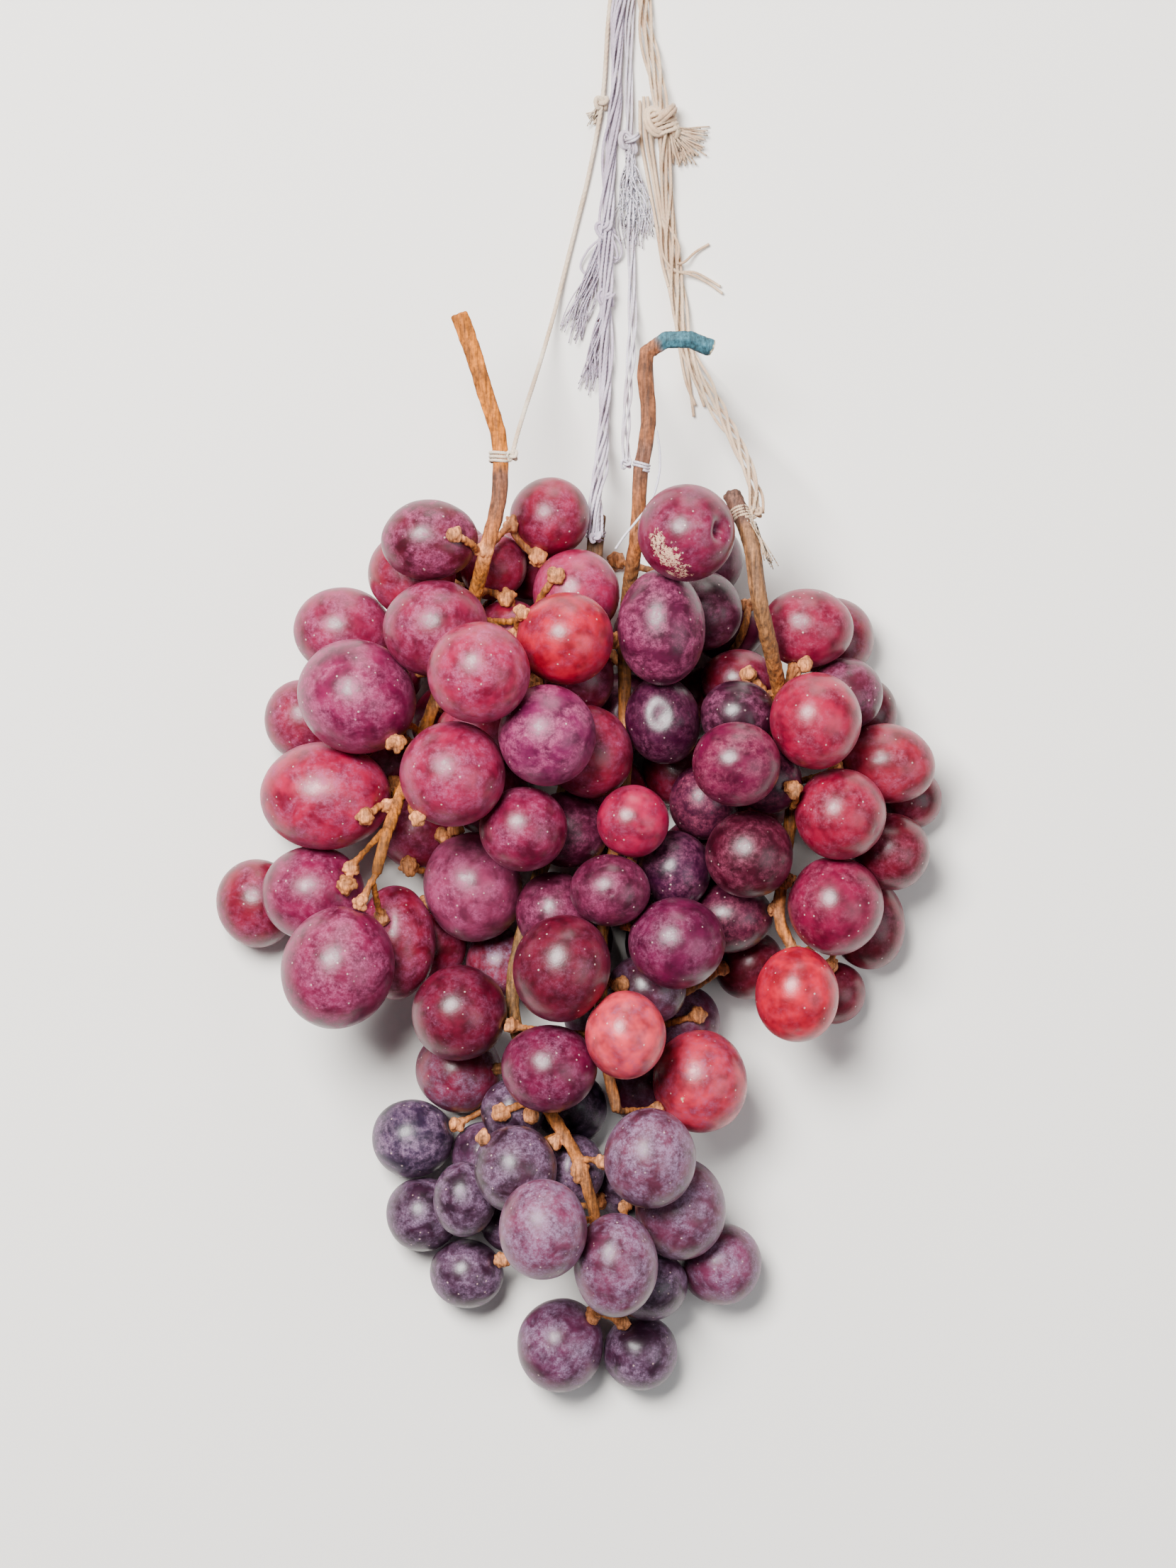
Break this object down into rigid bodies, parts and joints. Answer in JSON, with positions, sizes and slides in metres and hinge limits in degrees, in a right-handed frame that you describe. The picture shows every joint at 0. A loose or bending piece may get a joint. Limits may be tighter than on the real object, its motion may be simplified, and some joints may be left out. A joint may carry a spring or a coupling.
{
  "type": "bunch of grapes",
  "caption": "Bunch of red table grapes lying down: small bunches on cut stems, tied together by cotton strings that meet in a knot.",
  "frame": {"origin": "under the middle of the berries and stems, on the surface the bunch lies on; the strings are left out of the middle", "axes": "+Z up from the surface, +Y from the tip of the bunch to its cut stems, +X to the right seen from above with +Y up"},
  "size_m": [0.1886, 0.3837, 0.0815],
  "materials": {
    "left_grape_skin": "dusty bloom over crimson skin",
    "centre_grape_skin": "dark maroon skin with a speckled bloom",
    "right_grape_skin": "red skin with a fine speckled bloom",
    "lower_grape_skin": "blue-purple skin with a blue-grey bloom",
    "grape_stem": "dry grooved stem with warty ends",
    "cotton_string": "twisted cotton"
  },
  "bodies": {
    "root": {"left_berry_01": "left_grape_skin", "left_berry_02": "left_grape_skin", "left_berry_03": "left_grape_skin", "left_berry_04": "left_grape_skin", "left_berry_05": "left_grape_skin", "left_berry_06": "left_grape_skin", "left_berry_07": "left_grape_skin", "left_berry_08": "left_grape_skin", "left_berry_09": "left_grape_skin", "left_berry_10": "left_grape_skin", "left_berry_11": "left_grape_skin", "left_berry_12": "left_grape_skin", "left_berry_13": "left_grape_skin", "left_berry_14": "left_grape_skin", "left_berry_15": "left_grape_skin", "left_berry_16": "left_grape_skin", "centre_berry_01": "centre_grape_skin", "centre_berry_02": "centre_grape_skin", "centre_berry_03": "centre_grape_skin", "centre_berry_04": "centre_grape_skin", "centre_berry_05": "centre_grape_skin", "centre_berry_06": "centre_grape_skin", "centre_berry_07": "centre_grape_skin", "centre_berry_08": "centre_grape_skin", "centre_berry_09": "centre_grape_skin", "centre_berry_10": "centre_grape_skin", "right_berry_01": "right_grape_skin", "right_berry_02": "right_grape_skin", "right_berry_03": "right_grape_skin", "right_berry_04": "right_grape_skin", "right_berry_05": "right_grape_skin", "right_berry_06": "right_grape_skin", "right_berry_07": "right_grape_skin", "right_berry_08": "right_grape_skin", "lower_berry_01": "lower_grape_skin", "lower_berry_02": "lower_grape_skin", "lower_berry_03": "lower_grape_skin", "lower_berry_04": "lower_grape_skin", "lower_berry_05": "lower_grape_skin", "lower_berry_06": "lower_grape_skin", "lower_berry_07": "lower_grape_skin", "lower_berry_08": "lower_grape_skin", "inner_berries_upper_left": "left_grape_skin", "inner_berries_upper_middle": "left_grape_skin", "inner_berries_left_side": "left_grape_skin", "inner_berries_middle": "centre_grape_skin", "inner_berries_upper_right": "right_grape_skin", "inner_berries_right_side": "right_grape_skin", "inner_berries_lower_middle": "centre_grape_skin", "inner_berries_tip": "lower_grape_skin", "left_stem": "grape_stem", "centre_stem": "grape_stem", "right_stem": "grape_stem", "lower_stem": "grape_stem", "string_left": "cotton_string", "string_lower": "cotton_string", "string_centre": "cotton_string", "string_right": "cotton_string", "loose_thread": "cotton_string", "gathering_knot": "cotton_string"}
  },
  "joints": []
}
